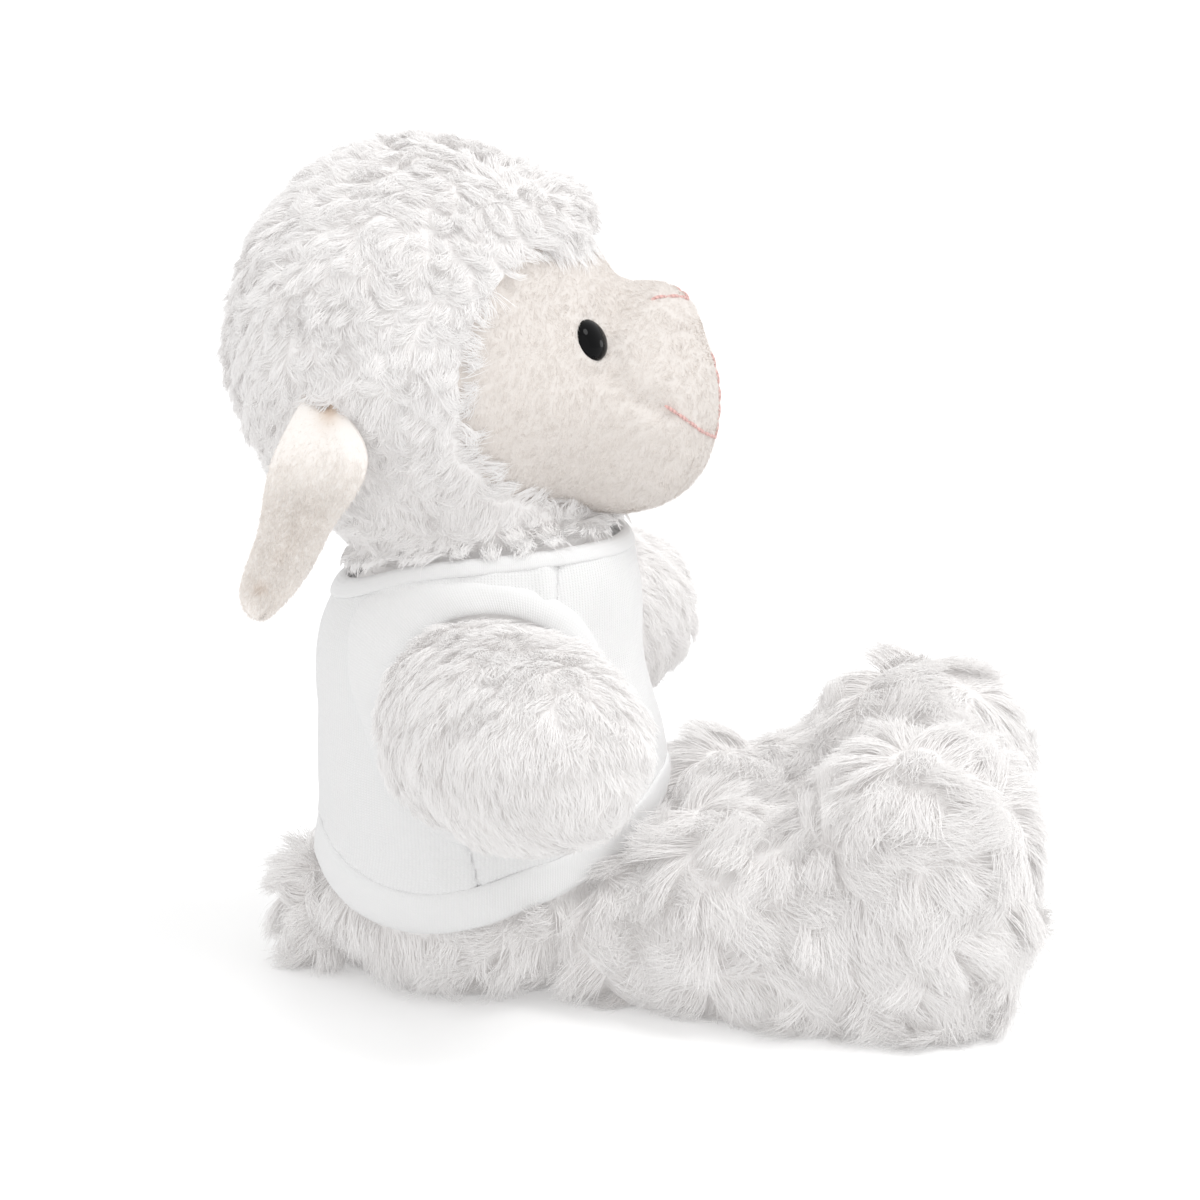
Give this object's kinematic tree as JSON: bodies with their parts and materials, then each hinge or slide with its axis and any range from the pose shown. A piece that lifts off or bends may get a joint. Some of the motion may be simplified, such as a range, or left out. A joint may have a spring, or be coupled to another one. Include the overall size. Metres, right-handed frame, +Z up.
{
  "type": "stuffed lamb",
  "caption": "Seated plush lamb with curly fur, a short-pile face, folded ears and domed eyes, in a sleeveless tee.",
  "frame": {"origin": "middle of the flat patch under the seat, on the surface that the toy sits on", "axes": "+Z up; the toy looks along -Y, and its right side is -X"},
  "size_m": [0.1996, 0.1837, 0.1955],
  "materials": {
    "fur": "long curly pile",
    "face": "short pile",
    "filling": "loose fibre",
    "tee": "knitted jersey",
    "lining": "short pile",
    "eye": "polished",
    "washer": "moulded",
    "thread": "sewn thread",
    "pouch": "woven"
  },
  "bodies": {
    "torso": {"body_skin": "fur", "body_stuffing": "filling", "bean_pouch": "pouch", "tee_front": "tee", "tee_back": "tee", "tee_neck_band": "tee", "tee_hem_band": "tee", "tee_right_armhole_band": "tee", "tee_left_armhole_band": "tee"},
    "neck": {"neck_stuffing": "filling"},
    "head": {"head_skin": "fur", "face_panel": "face", "head_stuffing": "filling", "right_eye": "eye", "left_eye": "eye", "right_eye_washer": "washer", "left_eye_washer": "washer", "nose_stitching": "thread", "mouth_stitching": "thread"},
    "right_ear": {"right_ear_back": "face", "right_ear_lining": "lining"},
    "left_ear": {"left_ear_back": "face", "left_ear_lining": "lining"},
    "right_arm": {"right_arm_skin": "fur", "right_arm_stuffing": "filling"},
    "left_arm": {"left_arm_skin": "fur", "left_arm_stuffing": "filling"},
    "right_leg": {"right_leg_skin": "fur", "right_leg_stuffing": "filling"},
    "left_leg": {"left_leg_skin": "fur", "left_leg_stuffing": "filling"},
    "tail": {"tail_skin": "fur", "tail_stuffing": "filling"}
  },
  "joints": [
    {"name": "neck_turn", "type": "hinge", "parent": "torso", "child": "neck", "pos_m": [0, 0.003, 0.112], "axis": [0, 0, 1], "range_deg": [-30, 30], "stiffness_Nm_per_rad": 0.3},
    {"name": "head_nod", "type": "hinge", "parent": "neck", "child": "head", "pos_m": [0, 0.003, 0.112], "axis": [1, 0, 0], "range_deg": [-4, 5], "stiffness_Nm_per_rad": 0.4},
    {"name": "right_ear_lift", "type": "hinge", "parent": "head", "child": "right_ear", "pos_m": [-0.04618, 0.02806, 0.14217], "axis": [0.2629, 0.9429, 0.2046], "range_deg": [0, 50], "stiffness_Nm_per_rad": 0.01},
    {"name": "left_ear_lift", "type": "hinge", "parent": "head", "child": "left_ear", "pos_m": [0.04618, 0.02806, 0.14217], "axis": [0.2629, -0.9429, -0.2046], "range_deg": [0, 50], "stiffness_Nm_per_rad": 0.01},
    {"name": "right_arm_raise", "type": "hinge", "parent": "torso", "child": "right_arm", "pos_m": [-0.04666, -0.003, 0.0705], "axis": [-0.4695, 0.8829, 0], "range_deg": [-10, 24], "stiffness_Nm_per_rad": 0.08},
    {"name": "left_arm_raise", "type": "hinge", "parent": "torso", "child": "left_arm", "pos_m": [0.04666, -0.003, 0.0705], "axis": [-0.5446, -0.8387, 0], "range_deg": [-10, 24], "stiffness_Nm_per_rad": 0.08},
    {"name": "right_leg_lift", "type": "hinge", "parent": "torso", "child": "right_leg", "pos_m": [-0.024, -0.034, 0.0165], "axis": [-1, 0, 0], "range_deg": [0, 15], "stiffness_Nm_per_rad": 0.1},
    {"name": "left_leg_lift", "type": "hinge", "parent": "torso", "child": "left_leg", "pos_m": [0.024, -0.034, 0.0165], "axis": [-1, 0, 0], "range_deg": [0, 15], "stiffness_Nm_per_rad": 0.1},
    {"name": "tail_lift", "type": "hinge", "parent": "torso", "child": "tail", "pos_m": [0, 0.03903, 0.02], "axis": [1, 0, 0], "range_deg": [0, 45], "stiffness_Nm_per_rad": 0.01}
  ]
}
